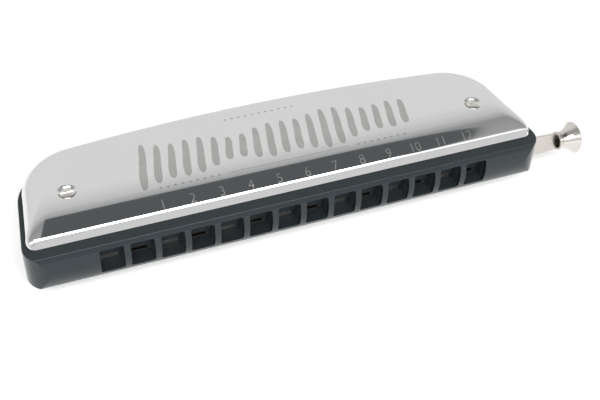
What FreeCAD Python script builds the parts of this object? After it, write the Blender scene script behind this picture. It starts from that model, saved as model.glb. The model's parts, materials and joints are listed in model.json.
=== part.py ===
"""Chromatic harmonica: fourteen mouth holes, two reed plates and a spring-returned slide.

+X runs along the mouth holes towards the slide button, -Y faces the player and +Z is up.
Every sub-part is drawn about the instrument's middle plane and lifted by its Placement,
so that the bottom cover's flat face lies at Z = 0.
"""
import FreeCAD, Part
import math
import os
import Sketcher

Vector = FreeCAD.Vector
TINY = 1e-6
FLAT = 1e-3

# Driving dimensions in millimetres, and angles in degrees.
SIZES = {
    # whole instrument
    "half_thickness": 12.2,
    "cut_spare": 1.0,
    # mouth holes
    "hole_count": 14,
    "hole_pitch": 9.2,
    "hole_width": 7.28,
    "hole_height": 8.76,
    "hole_corner": 0.7,
    "mouth_plane": -22.4,
    "mouth_arc": 12.5,
    # comb, with the mouthpiece moulded in one piece with it
    "comb_height": 12.0,
    "comb_half_length": 84.6,
    "comb_rear": 21.9,
    "comb_front_corner": 7.0,
    "comb_edge": 0.4,
    "plan_taper": 6.9,
    "plan_rear_arc": 569.0,
    "plan_rear_corner": 16.0,
    # web inside each hole, in front of the slide
    "web_front": -17.8,
    "web_height": 4.0,
    # passages from the slide to the reed chambers
    "passage_width": 5.0,
    "mid_wall": 2.0,
    "chamber_front": -14.2,
    "chamber_offset": 2.1,
    "chamber_width": 3.2,
    "chamber_spare": 3.6,
    # slide and its slot
    "slide_middle": -16.8,
    "slide_thickness": 0.5,
    "slide_height": 8.4,
    "slide_clearance": 0.05,
    "slide_travel": 6.1,
    "slide_left": -70.0,
    "slide_shoulder": 82.6,
    "slot_left": -76.8,
    "window_back": 6.4,
    "window_ahead": 3.4,
    "window_low": 1.3,
    "window_high": 4.0,
    "window_corner": 0.5,
    "tongue_length": 4.0,
    "tongue_height": 2.0,
    "neck_height": 7.8,
    "neck_end_height": 6.9,
    "neck_end": 94.6,
    "tang_length": 2.0,
    "tang_height": 6.0,
    # slide stop pin
    "pin_place": 75.2,
    "pin_radius": 0.75,
    "pin_front": -19.6,
    "pin_back": -9.5,
    "pin_clearance": 0.02,
    "stop_slot_corner": 0.73,
    # return spring
    "spring_pocket_left": -82.0,
    "spring_pocket_radius": 2.1,
    "spring_radius": 1.65,
    "spring_wire": 0.2,
    "spring_turns": 9.5,
    "spring_end_gap": 0.25,
    # push button
    "button_inner": 94.0,
    "button_end": 101.4,
    "button_small": 3.1,
    "button_chamfer": 0.15,
    "button_collar": 0.7,
    "button_waist_start": 1.2,
    "button_waist_pull": 2.2,
    "button_rim_pull": 1.3,
    "button_rim_fall": 1.2,
    "button_rim": 1.4,
    "button_rim_round": 0.95,
    "button_dome": 0.35,
    "button_waist": 2.85,
    "button_bell": 5.45,
    "button_bore": 2.4,
    "button_bore_depth": 4.2,
    "button_slot": 0.5,
    "button_slot_depth": 2.7,
    # reed plates
    "plate_thickness": 0.9,
    "plate_seat": 5.0,
    "plate_half_length": 64.6,
    "plate_front": -15.75,
    "plate_rear": 16.6,
    "plate_margin": 0.2,
    "plate_screw_hole": 0.6,
    "plate_screw_tip": 2.2,
    "plate_screw_head": 1.0,
    "plate_screw_head_height": 0.5,
    "plate_screw_front": -14.7,
    "plate_screw_rear": 14.9,
    # reeds, rivets and valves
    "reed_front": -10.2,
    "reed_low_length": 20.0,
    "reed_high_length": 9.0,
    "reed_slot_width": 2.2,
    "reed_width": 2.0,
    "reed_thickness": 0.25,
    "reed_tip_gap": 0.3,
    "reed_pad_width": 2.6,
    "reed_pad_length": 3.0,
    "rivet_radius": 0.5,
    "rivet_head": 0.8,
    "rivet_head_height": 0.25,
    "rivet_clearance": 0.05,
    "valve_width": 2.8,
    "valve_thickness": 0.1,
    "valve_margin": 1.2,
    "valved_holes": 11,
    # pressed covers
    "cover_sheet": 0.8,
    "cover_front": -18.0,
    "cover_rear": 23.1,
    "cover_half_length": 83.3,
    "cover_front_corner": 3.0,
    "flange_top": 8.1,
    "flange_lean": 25.0,
    "bead_radius": 2.3,
    "bead_end": 30.0,
    "slope_length": 17.0,
    "side_round": 7.5,
    "rear_lip": 9.4,
    "rear_round": 5.5,
    "sound_gap_half_width": 60.0,
    "sound_gap_depth": 10.0,
    # cover screws and sleeve nuts
    "screw_side": 67.7,
    "screw_back": -2.8,
    "screw_radius": 1.25,
    "screw_head": 2.0,
    "screw_head_height": 0.7,
    "screw_crown": 0.15,
    "screw_point": 0.3,
    "screw_seat": 11.45,
    "screw_tip": -8.0,
    "screw_slot": 0.6,
    "screw_slot_depth": 0.4,
    "nut_barrel": 1.75,
    "nut_tip": -3.0,
    "nut_tip_gap": 0.5,
    "nut_head": 2.15,
    "thread_clearance": 0.05,
    "dimple_floor": 2.25,
    "dimple_mouth": 3.0,
    "fastener_clearance": 0.1,
}

doc = FreeCAD.newDocument("harmonica")
sheet = doc.addObject("Spreadsheet::Sheet", "Sheet")
for row, (alias, size) in enumerate(SIZES.items(), start=1):
    sheet.set("A%d" % row, alias)
    sheet.set("B%d" % row, str(size))
    sheet.setAlias("B%d" % row, alias)
doc.recompute()

subparts = []


def get(alias):
    """Return a driving dimension as a plain number."""
    return float(sheet.get(alias))


def cell(alias):
    """Return the expression that names a cell."""
    return "Sheet." + alias


def keep(item, label):
    """Name a finished sub-part and lift it from the middle plane to the row's frame."""
    item.Label = label
    item.setExpression("Placement.Base.z", cell("half_thickness"))
    subparts.append(item)
    return item


# ---------------------------------------------------------------- sketch helpers

def new_body(name):
    """Add an empty PartDesign body."""
    return doc.addObject("PartDesign::Body", name)


def new_sketch(body, name, role, offset=None):
    """Add a sketch on one of the body's origin planes, moved along the plane's normal."""
    sketch = body.newObject("Sketcher::SketchObject", name)
    plane = next(item for item in body.Origin.OriginFeatures if item.Role == role)
    sketch.AttachmentSupport = (plane, "")
    sketch.MapMode = "FlatFace"
    if offset:
        sketch.setExpression("AttachmentOffset.Base.z", offset)
    return sketch


def rectangle(sketch, left, bottom, right, top):
    """Draw a rectangle whose four sides are bound to expressions."""
    corners = [Vector(-1, -1, 0), Vector(1, -1, 0), Vector(1, 1, 0), Vector(-1, 1, 0)]
    first = sketch.GeometryCount
    for index in range(4):
        sketch.addGeometry(Part.LineSegment(corners[index], corners[(index + 1) % 4]), False)
    for index in range(4):
        following = first + (index + 1) % 4
        sketch.addConstraint(Sketcher.Constraint("Coincident", first + index, 2, following, 1))
    for index, kind in ((0, "Horizontal"), (1, "Vertical"), (2, "Horizontal"), (3, "Vertical")):
        sketch.addConstraint(Sketcher.Constraint(kind, first + index))
    for kind, corner, expression in (
        ("DistanceX", first, left),
        ("DistanceY", first, bottom),
        ("DistanceX", first + 2, right),
        ("DistanceY", first + 2, top),
    ):
        number = sketch.addConstraint(Sketcher.Constraint(kind, -1, 1, corner, 1, 1.0))
        sketch.setExpression("Constraints[%d]" % number, expression)


def circle(sketch, across, up, radius):
    """Draw a circle whose centre and radius are bound to expressions."""
    index = sketch.addGeometry(Part.Circle(Vector(1, 1, 0), Vector(0, 0, 1), 1.0), False)
    for kind, expression in (("DistanceX", across), ("DistanceY", up)):
        number = sketch.addConstraint(Sketcher.Constraint(kind, -1, 1, index, 3, 1.0))
        sketch.setExpression("Constraints[%d]" % number, expression)
    number = sketch.addConstraint(Sketcher.Constraint("Radius", index, 1.0))
    sketch.setExpression("Constraints[%d]" % number, radius)


def closed_outline(sketch, points):
    """Draw a closed outline of straight lines through the points."""
    count = len(points)
    first = sketch.GeometryCount
    for index in range(count):
        line = Part.LineSegment(points[index], points[(index + 1) % count])
        sketch.addGeometry(line, False)
    for index in range(count):
        following = first + (index + 1) % count
        sketch.addConstraint(Sketcher.Constraint("Coincident", first + index, 2, following, 1))


def cut(body, sketch, name, length, reverse=False, symmetric=False):
    """Pocket a sketch into the body, and check that it removes material."""
    before = body.Shape.Volume
    pocket = body.newObject("PartDesign::Pocket", name)
    pocket.Profile = sketch
    pocket.Reversed = reverse
    if symmetric:
        pocket.SideType = "Symmetric"
    pocket.setExpression("Length", length)
    doc.recompute()
    if body.Shape.Volume > before - TINY:
        raise RuntimeError("%s removes nothing" % name)
    return pocket


def repeat_along_x(body, feature, name, count, pitch):
    """Repeat a pocket along +X at a pitch."""
    before = body.Shape.Volume
    pattern = body.newObject("PartDesign::LinearPattern", name)
    pattern.Originals = [feature]
    axis = next(item for item in body.Origin.OriginFeatures if item.Role == "X_Axis")
    pattern.Direction = (axis, [""])
    pattern.Mode = "Spacing"
    pattern.setExpression("Offset", pitch)
    pattern.setExpression("Occurrences", count)
    body.Tip = pattern
    doc.recompute()
    if body.Shape.Volume > before - TINY:
        raise RuntimeError("%s removes nothing" % name)
    return pattern


def mirror_over_middle(body, feature, name):
    """Mirror a pocket from the upper half to the lower half."""
    before = body.Shape.Volume
    mirrored = body.newObject("PartDesign::Mirrored", name)
    mirrored.Originals = [feature]
    plane = next(item for item in body.Origin.OriginFeatures if item.Role == "XY_Plane")
    mirrored.MirrorPlane = (plane, [""])
    body.Tip = mirrored
    doc.recompute()
    if body.Shape.Volume > before - TINY:
        raise RuntimeError("%s removes nothing" % name)
    return mirrored


# ---------------------------------------------------------------- plan outline

def plan_outline(front, half_length, rear, front_corner, rear_corner, height):
    """Return the closed plan outline, counter-clockwise from its front edge.

    The front is straight, the sides close in towards the rear by the taper angle, and the
    rear is one shallow arc. half_length is where the side line meets the cover's front line.
    """
    taper = math.radians(get("plan_taper"))
    normal = Vector(math.cos(taper), math.sin(taper), 0)
    along = Vector(-math.sin(taper), math.cos(taper), 0)
    reach = Vector(half_length, get("cover_front"), 0).dot(normal)
    rear_centre = Vector(0, rear - get("plan_rear_arc"), 0)

    # the rear corner's centre lies inside the side line and inside the rear arc
    foot = normal * (reach - rear_corner) - rear_centre
    gap = get("plan_rear_arc") - rear_corner
    run = math.sqrt(foot.dot(along) ** 2 - foot.dot(foot) + gap ** 2) - foot.dot(along)
    corner = normal * (reach - rear_corner) + along * run
    outward = (corner - rear_centre).normalize()

    # the front corner's centre lies inside the side line and behind the front line
    nose_y = front + front_corner
    nose_x = (reach - front_corner - nose_y * math.sin(taper)) / math.cos(taper)
    nose = Vector(nose_x, nose_y, 0)
    half_turn = math.radians(90 - get("plan_taper")) / 2 + taper

    right = [
        nose + Vector(0, -front_corner, 0),
        nose + Vector(math.cos(half_turn - math.pi / 2), math.sin(half_turn - math.pi / 2), 0)
        * front_corner,
        nose + normal * front_corner,
        corner + normal * rear_corner,
        corner + (normal + outward).normalize() * rear_corner,
        corner + outward * rear_corner,
    ]
    crown = Vector(0, rear, 0)
    lift = Vector(0, 0, height)
    right = [point + lift for point in right]
    left = [Vector(-point.x, point.y, point.z) for point in right]
    return [
        Part.LineSegment(left[0], right[0]),
        Part.Arc(right[0], right[1], right[2]),
        Part.LineSegment(right[2], right[3]),
        Part.Arc(right[3], right[4], right[5]),
        Part.Arc(right[5], crown + lift, left[5]),
        Part.Arc(left[5], left[4], left[3]),
        Part.LineSegment(left[3], left[2]),
        Part.Arc(left[2], left[1], left[0]),
    ]


def hole_middle(index):
    """Return the expression for the middle of the mouth hole with this index."""
    return "(%d - (Sheet.hole_count - 1) / 2) * Sheet.hole_pitch" % index


def reed_length(index):
    """Return the expression for the length of a hole's reeds, longest at the left."""
    drop = "(Sheet.reed_low_length - Sheet.reed_high_length)"
    return "(Sheet.reed_low_length - %s * %d / (Sheet.hole_count - 1))" % (drop, index)


HOLES = range(int(get("hole_count")))
PLATE_SCREWS_FRONT = (-6, -3, 0, 3, 6)
PLATE_SCREWS_REAR = (-6.5, -3.5, 0, 3.5, 6.5)
LEVELS = {"upper": 1, "lower": -1}
SPRING_STEPS = 16


# ---------------------------------------------------------------- comb

def comb_blank(body):
    """Pad the comb's plan outline, round its mouth face and soften its long edges."""
    arc = get("mouth_arc")
    bulge = arc - math.sqrt(arc ** 2 - (get("hole_height") / 2) ** 2)
    front = get("mouth_plane") - bulge
    sketch = new_sketch(body, "CombPlan", "XY_Plane")
    outline = plan_outline(
        front, get("comb_half_length"), get("comb_rear"), get("comb_front_corner"),
        get("plan_rear_corner"), 0,
    )
    sketch.addGeometry(outline, False)
    pad = body.newObject("PartDesign::Pad", "CombPad")
    pad.Profile = sketch
    pad.SideType = "Symmetric"
    pad.setExpression("Length", cell("comb_height"))
    doc.recompute()

    # the mouth face is an arc in section, cut away in front of it
    reach = get("comb_height") / 2 + get("cut_spare")
    edge = front + arc - math.sqrt(arc ** 2 - reach ** 2)
    ahead = front - get("cut_spare")
    section = new_sketch(body, "MouthArc", "YZ_Plane")
    section.addGeometry([
        Part.Arc(Vector(edge, -reach, 0), Vector(front, 0, 0), Vector(edge, reach, 0)),
        Part.LineSegment(Vector(edge, reach, 0), Vector(ahead, reach, 0)),
        Part.LineSegment(Vector(ahead, reach, 0), Vector(ahead, -reach, 0)),
        Part.LineSegment(Vector(ahead, -reach, 0), Vector(edge, -reach, 0)),
    ], False)
    pocket = cut(body, section, "MouthFace", "3 * Sheet.comb_half_length", symmetric=True)

    rim = get("comb_height") / 2
    names = []
    for number, line in enumerate(pocket.Shape.Edges, start=1):
        box = line.BoundBox
        if box.ZLength < FLAT and abs(abs(box.ZMin) - rim) < FLAT:
            names.append("Edge%d" % number)
    fillet = body.newObject("PartDesign::Fillet", "CombEdges")
    fillet.Base = (pocket, names)
    fillet.setExpression("Radius", cell("comb_edge"))
    doc.recompute()
    return body


def comb_mouth_holes(body):
    """Cut the mouth holes down to the web, and the two slots above and below the web."""
    first = hole_middle(0)
    opening = new_sketch(body, "MouthHole", "XZ_Plane", "-Sheet.web_front")
    width = get("hole_width") / 2
    height = get("hole_height") / 2
    corner = get("hole_corner")
    middle = -(get("hole_count") - 1) / 2 * get("hole_pitch")
    rounded_rectangle(opening, middle - width, -height, middle + width, height, corner)
    hole = cut(body, opening, "MouthHolePocket", "Sheet.comb_front_corner * 2", reverse=True)
    repeat_along_x(body, hole, "MouthHoles", cell("hole_count"), cell("hole_pitch"))

    slots = new_sketch(body, "WebSlots", "XZ_Plane", "-Sheet.web_front")
    left = "%s - Sheet.hole_width / 2" % first
    right = "%s + Sheet.hole_width / 2" % first
    rectangle(slots, left, "Sheet.web_height / 2", right, "Sheet.hole_height / 2")
    rectangle(slots, left, "-Sheet.hole_height / 2", right, "-Sheet.web_height / 2")
    depth = "Sheet.slide_middle - Sheet.web_front"
    slot = cut(body, slots, "WebSlotPocket", depth)
    repeat_along_x(body, slot, "WebSlotRow", cell("hole_count"), cell("hole_pitch"))


def rounded_rectangle(sketch, left, bottom, right, top, radius):
    """Draw a rectangle with rounded corners."""
    lines = [
        (Vector(left + radius, bottom, 0), Vector(right - radius, bottom, 0)),
        (Vector(right, bottom + radius, 0), Vector(right, top - radius, 0)),
        (Vector(right - radius, top, 0), Vector(left + radius, top, 0)),
        (Vector(left, top - radius, 0), Vector(left, bottom + radius, 0)),
    ]
    middles = [
        Vector(right - radius, bottom + radius, 0),
        Vector(right - radius, top - radius, 0),
        Vector(left + radius, top - radius, 0),
        Vector(left + radius, bottom + radius, 0),
    ]
    for index, (start, end) in enumerate(lines):
        sketch.addGeometry(Part.LineSegment(start, end), False)
        turn = math.radians(-45 + 90 * index)
        bend = middles[index] + Vector(math.cos(turn), math.sin(turn), 0) * radius
        sketch.addGeometry(Part.Arc(end, bend, lines[(index + 1) % 4][0]), False)


def comb_slide_slot(body):
    """Cut the slot that the slide runs in, out through the right end."""
    slot = new_sketch(body, "SlideSlot", "YZ_Plane", cell("slot_left"))
    gap = "Sheet.slide_thickness / 2 + Sheet.slide_clearance"
    reach = "Sheet.slide_height / 2 + Sheet.slide_clearance"
    rectangle(
        slot, "Sheet.slide_middle - (%s)" % gap, "-(%s)" % reach,
        "Sheet.slide_middle + %s" % gap, reach,
    )
    cut(body, slot, "SlideSlotPocket", "3 * Sheet.comb_half_length", reverse=True)
    pocket = new_sketch(body, "SpringPocket", "YZ_Plane", cell("spring_pocket_left"))
    circle(pocket, cell("slide_middle"), "0", cell("spring_pocket_radius"))
    depth = "Sheet.slide_left - Sheet.spring_pocket_left"
    cut(body, pocket, "SpringPocketBore", depth, reverse=True)
    bore = new_sketch(body, "StopPinBore", "XZ_Plane", "-Sheet.comb_rear - Sheet.cut_spare")
    circle(bore, cell("pin_place"), "0", "Sheet.pin_radius + Sheet.pin_clearance")
    depth = "Sheet.comb_rear + Sheet.cut_spare - Sheet.pin_front"
    cut(body, bore, "StopPinPocket", depth, reverse=True)


def comb_passages(body):
    """Cut the passages behind the slide, one above and one below the middle wall."""
    sketch = new_sketch(body, "Passages", "XZ_Plane", "-Sheet.slide_middle")
    left = "%s - Sheet.passage_width / 2" % hole_middle(0)
    right = "%s + Sheet.passage_width / 2" % hole_middle(0)
    rectangle(sketch, left, "Sheet.mid_wall / 2", right, cell("plate_seat"))
    rectangle(sketch, left, "-Sheet.plate_seat", right, "-Sheet.mid_wall / 2")
    depth = "Sheet.chamber_front - Sheet.slide_middle"
    passage = cut(body, sketch, "PassagePocket", depth)
    repeat_along_x(body, passage, "PassageRow", cell("hole_count"), cell("hole_pitch"))


def comb_chambers(body):
    """Cut a blow and a draw chamber behind every hole, as long as the hole's reeds need."""
    sketch = new_sketch(body, "Chambers", "XY_Plane", "Sheet.mid_wall / 2")
    for index in HOLES:
        end = "Sheet.reed_front + %s + Sheet.chamber_spare" % reed_length(index)
        for side in ("-", "+"):
            middle = "%s %s Sheet.chamber_offset" % (hole_middle(index), side)
            rectangle(
                sketch, "%s - Sheet.chamber_width / 2" % middle, cell("chamber_front"),
                "%s + Sheet.chamber_width / 2" % middle, end,
            )
    upper = cut(body, sketch, "UpperChambers", cell("comb_height"), reverse=True)
    mirror_over_middle(body, upper, "LowerChambers")


def comb_plate_seats(body):
    """Recess both faces of the comb for the reed plates."""
    seat = new_sketch(body, "PlateSeat", "XY_Plane", cell("plate_seat"))
    rectangle(
        seat, "-Sheet.plate_half_length - 2 * Sheet.plate_margin",
        "Sheet.plate_front - Sheet.slide_clearance",
        "Sheet.plate_half_length + 2 * Sheet.plate_margin",
        "Sheet.plate_rear + Sheet.plate_margin",
    )
    upper = cut(body, seat, "UpperPlateSeat", cell("comb_height"), reverse=True)
    mirror_over_middle(body, upper, "LowerPlateSeat")


def plate_screw_places():
    """Return the expressions for where each reed plate is screwed down."""
    front = [("%s * Sheet.hole_pitch" % step, cell("plate_screw_front"))
             for step in PLATE_SCREWS_FRONT]
    rear = [("%s * Sheet.hole_pitch" % step, cell("plate_screw_rear"))
            for step in PLATE_SCREWS_REAR]
    return front + rear


def comb_bores(body):
    """Bore the comb for the reed plate screws, the cover screws and their sleeve nuts."""
    small = new_sketch(body, "PlateScrewBores", "XY_Plane", cell("mid_wall"))
    for across, back in plate_screw_places():
        circle(small, across, back, cell("plate_screw_hole"))
    upper = cut(body, small, "UpperPlateScrewBores", cell("comb_height"), reverse=True)
    mirror_over_middle(body, upper, "LowerPlateScrewBores")

    through = new_sketch(body, "CoverScrewBores", "XY_Plane")
    barrels = new_sketch(body, "NutBores", "XY_Plane", "Sheet.nut_tip + Sheet.nut_tip_gap")
    for sign in ("-", ""):
        across = sign + cell("screw_side")
        circle(through, across, cell("screw_back"),
               "Sheet.screw_radius + Sheet.fastener_clearance")
        circle(barrels, across, cell("screw_back"),
               "Sheet.nut_barrel + Sheet.fastener_clearance")
    cut(body, through, "CoverScrewHoles", "2 * Sheet.comb_height", symmetric=True)
    cut(body, barrels, "NutHoles", cell("comb_height"))


def make_comb():
    """Make the comb with its moulded mouthpiece."""
    body = new_body("Comb")
    comb_blank(body)
    comb_mouth_holes(body)
    comb_slide_slot(body)
    comb_plate_seats(body)
    comb_passages(body)
    comb_chambers(body)
    comb_bores(body)
    keep(body, "comb")


# ---------------------------------------------------------------- slide and button

def make_slide():
    """Make the flat slide with its staggered windows, stop slot, tongue and neck."""
    body = new_body("Slide")
    plan = new_sketch(body, "SlideOutline", "XZ_Plane", "-Sheet.slide_middle")
    half = get("slide_height") / 2
    tongue = get("tongue_height") / 2
    neck = get("neck_height") / 2
    neck_end = get("neck_end_height") / 2
    tang = get("tang_height") / 2
    left = get("slide_left")
    upper = [
        (left - get("tongue_length"), tongue),
        (left, tongue),
        (left, half),
        (get("slide_shoulder"), half),
        (get("slide_shoulder"), neck),
        (get("neck_end"), neck_end),
        (get("neck_end"), tang),
        (get("neck_end") + get("tang_length"), tang),
    ]
    lower = [(across, -up) for across, up in reversed(upper)]
    closed_outline(plan, [Vector(across, up, 0) for across, up in upper + lower])
    pad = body.newObject("PartDesign::Pad", "SlidePad")
    pad.Profile = plan
    pad.SideType = "Symmetric"
    pad.setExpression("Length", cell("slide_thickness"))
    doc.recompute()

    # windows of one row lie two holes apart, and the rows are one hole apart
    for name, first, sign in (("Upper", 0, 1), ("Lower", 1, -1)):
        row = new_sketch(body, name + "Window", "XZ_Plane", "-Sheet.slide_middle")
        middle = (first - (get("hole_count") - 1) / 2) * get("hole_pitch")
        low, high = sorted((sign * get("window_low"), sign * get("window_high")))
        rounded_rectangle(
            row, middle - get("window_back"), low, middle + get("window_ahead"), high,
            get("window_corner"),
        )
        window = cut(body, row, name + "WindowPocket", "2 * Sheet.slide_thickness",
                     symmetric=True)
        count = len(range(first, int(get("hole_count")) + 1, 2))
        repeat_along_x(body, window, name + "Windows", str(count), "2 * Sheet.hole_pitch")

    stop = new_sketch(body, "StopSlot", "XZ_Plane", "-Sheet.slide_middle")
    radius = get("pin_radius") + get("pin_clearance")
    start = get("pin_place") - radius
    rounded_rectangle(
        stop, start, -radius, get("pin_place") + radius + get("slide_travel"), radius,
        get("stop_slot_corner"),
    )
    cut(body, stop, "StopSlotPocket", "2 * Sheet.slide_thickness", symmetric=True)
    keep(body, "slide")


def make_slide_button():
    """Turn the flared push button, bore its small end and slot it for the slide's tang."""
    body = new_body("SlideButton")
    profile = new_sketch(body, "ButtonProfile", "XY_Plane")
    inner = get("button_inner")
    end = get("button_end")
    small = get("button_small")
    waist = get("button_waist")
    bell = get("button_bell")
    bore = get("button_bore")
    depth = inner + get("button_bore_depth")

    def at(across, radius):
        return Vector(across, radius, 0)

    collar = inner + get("button_collar")
    chamfer = get("button_chamfer")
    start = inner + get("button_waist_start")
    edge = end - get("button_rim")
    rim = bell - get("button_rim_round")
    rim_face = end - get("button_dome")
    dome = (rim ** 2 + get("button_dome") ** 2) / (2 * get("button_dome"))
    dome_middle = end - dome + math.sqrt(dome ** 2 - (rim / 2) ** 2)
    half_turn = math.sqrt(0.5)
    bend = at(edge + (rim_face - edge) * half_turn, rim + (bell - rim) * half_turn)
    flare = Part.BezierCurve()
    flare.setPoles([
        at(start, waist), at(start + get("button_waist_pull"), waist),
        at(edge - get("button_rim_pull"), bell - get("button_rim_fall")), at(edge, bell),
    ])
    profile.addGeometry([
        Part.LineSegment(at(depth, 0), at(depth, bore)),
        Part.LineSegment(at(depth, bore), at(inner, bore)),
        Part.LineSegment(at(inner, bore), at(inner, small - chamfer)),
        Part.LineSegment(at(inner, small - chamfer), at(inner + chamfer, small)),
        Part.LineSegment(at(inner + chamfer, small), at(collar, small)),
        Part.LineSegment(at(collar, small), at(start, waist)),
        flare.toBSpline(),
        Part.Arc(at(edge, bell), bend, at(rim_face, rim)),
        Part.Arc(at(rim_face, rim), at(dome_middle, rim / 2), at(end, 0)),
        Part.LineSegment(at(end, 0), at(depth, 0)),
    ], False)
    turned = body.newObject("PartDesign::Revolution", "ButtonTurned")
    turned.Profile = profile
    turned.ReferenceAxis = (profile, ["H_Axis"])
    turned.Angle = 360.0
    doc.recompute()

    slot = new_sketch(body, "TangSlot", "XY_Plane")
    rectangle(
        slot, "Sheet.button_inner - Sheet.cut_spare", "-Sheet.button_slot / 2",
        "Sheet.button_inner + Sheet.button_slot_depth", "Sheet.button_slot / 2",
    )
    cut(body, slot, "TangSlotPocket", "4 * Sheet.button_small", symmetric=True)
    body.setExpression("Placement.Base.y", cell("slide_middle"))
    keep(body, "slide_button")


def make_slide_spring():
    """Wind the compression spring that pushes the slide outwards, round its tongue."""
    gap = get("spring_end_gap")
    start = get("spring_pocket_left") + gap
    length = get("slide_left") - gap - start
    radius = get("spring_radius")
    wire = get("spring_wire")
    steps = int(get("spring_turns") * SPRING_STEPS)
    sections = []
    for step in range(steps + 1):
        turn = 2 * math.pi * step / SPRING_STEPS
        outward = Vector(0, math.cos(turn), math.sin(turn))
        along = Vector(length / steps, 0, 0)
        around = Vector(0, -math.sin(turn), math.cos(turn)) * (2 * math.pi * radius / SPRING_STEPS)
        across = outward.cross(along + around).normalize()
        centre = Vector(start, 0, 0) + along * step + outward * radius
        sides = [math.pi * side / 4 for side in range(9)]
        ring = [centre + (outward * math.cos(a) + across * math.sin(a)) * wire for a in sides]
        sections.append(Part.makePolygon(ring))
    spring = doc.addObject("Part::Feature", "SlideSpring")
    spring.Shape = Part.makeLoft(sections, True, True)
    spring.Placement = FreeCAD.Placement(Vector(0, get("slide_middle"), 0), FreeCAD.Rotation())
    keep(spring, "slide_spring")


def make_slide_stop_pin():
    """Make the pin that stops the slide at both ends of its travel."""
    pin = doc.addObject("Part::Cylinder", "SlideStopPin")
    pin.setExpression("Radius", cell("pin_radius"))
    pin.setExpression("Height", "Sheet.pin_back - Sheet.pin_front")
    pin.Placement.Rotation = FreeCAD.Rotation(Vector(1, 0, 0), -90)
    pin.setExpression("Placement.Base.x", cell("pin_place"))
    pin.setExpression("Placement.Base.y", cell("pin_front"))
    keep(pin, "slide_stop_pin")


# ---------------------------------------------------------------- reed plates and reeds

def make_reed_plate(level, sign):
    """Make one brass reed plate with a slot for every reed."""
    name = level.capitalize() + "ReedPlate"
    body = new_body(name)
    middle = "(Sheet.plate_seat + Sheet.plate_thickness / 2) * %d" % sign
    plan = new_sketch(body, name + "Plan", "XY_Plane", middle)
    rectangle(
        plan, "-Sheet.plate_half_length", cell("plate_front"), cell("plate_half_length"),
        cell("plate_rear"),
    )
    pad = body.newObject("PartDesign::Pad", name + "Pad")
    pad.Profile = plan
    pad.SideType = "Symmetric"
    pad.setExpression("Length", cell("plate_thickness"))
    doc.recompute()

    slots = new_sketch(body, name + "Slots", "XY_Plane", middle)
    for index in HOLES:
        end = "Sheet.reed_front + %s" % reed_length(index)
        for side in ("-", "+"):
            across = "%s %s Sheet.chamber_offset" % (hole_middle(index), side)
            rectangle(
                slots, "%s - Sheet.reed_slot_width / 2" % across, cell("reed_front"),
                "%s + Sheet.reed_slot_width / 2" % across, end,
            )
    cut(body, slots, name + "SlotPocket", "2 * Sheet.plate_thickness", symmetric=True)

    bores = new_sketch(body, name + "Bores", "XY_Plane", middle)
    for across, back in plate_screw_places():
        circle(bores, across, back, cell("plate_screw_hole"))
    for index in HOLES:
        for kind in ("blow", "draw"):
            across, back = rivet_place(index, kind)
            circle(bores, across, back, "Sheet.rivet_radius + Sheet.rivet_clearance")
    cut(body, bores, name + "BorePocket", "2 * Sheet.plate_thickness", symmetric=True)
    keep(body, level + "_reed_plate")


def reed_middle(index, kind):
    """Return the expression for the middle of a reed: blow at the left, draw at the right."""
    side = "-" if kind == "blow" else "+"
    return "%s %s Sheet.chamber_offset" % (hole_middle(index), side)


def rivet_place(index, kind):
    """Return where a reed is riveted: blow reeds at the rear, draw reeds at the front."""
    if kind == "blow":
        back = "Sheet.reed_front + %s + Sheet.reed_pad_length / 2" % reed_length(index)
    else:
        back = "Sheet.reed_front - Sheet.reed_pad_length / 2"
    return reed_middle(index, kind), back


def new_box(name, sizes, corner):
    """Add a box whose three sizes and lowest corner are bound to expressions."""
    box = doc.addObject("Part::Box", name)
    for axis, expression in zip(("Length", "Width", "Height"), sizes):
        box.setExpression(axis, expression)
    for axis, expression in zip("xyz", corner):
        box.setExpression("Placement.Base." + axis, expression)
    return box


def new_cylinder(name, radius, height, corner):
    """Add an upright cylinder whose sizes and foot are bound to expressions."""
    cylinder = doc.addObject("Part::Cylinder", name)
    cylinder.setExpression("Radius", radius)
    cylinder.setExpression("Height", height)
    for axis, expression in zip("xyz", corner):
        cylinder.setExpression("Placement.Base." + axis, expression)
    return cylinder


def drill(name, base, hole):
    """Cut one solid from another."""
    result = doc.addObject("Part::Cut", name)
    result.Base = base
    result.Tool = hole
    return result


def join(name, pieces):
    """Fuse touching solids into one."""
    result = doc.addObject("Part::MultiFuse", name)
    result.Shapes = pieces
    return result


def group(name, pieces, label):
    """Gather like pieces into one node of separate solids."""
    result = doc.addObject("Part::Compound", name)
    result.Links = pieces
    keep(result, label)


def plate_face(sign, outer):
    """Return the expression for a plate's outer or inner face, above or below the middle."""
    if outer:
        return "(Sheet.plate_seat + Sheet.plate_thickness) * %d" % sign
    return "Sheet.plate_seat * %d" % sign


def layer_foot(face, thickness, upward):
    """Return the lower face of a layer that lies on a plate's face."""
    return face if upward else "%s - %s" % (face, thickness)


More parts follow.
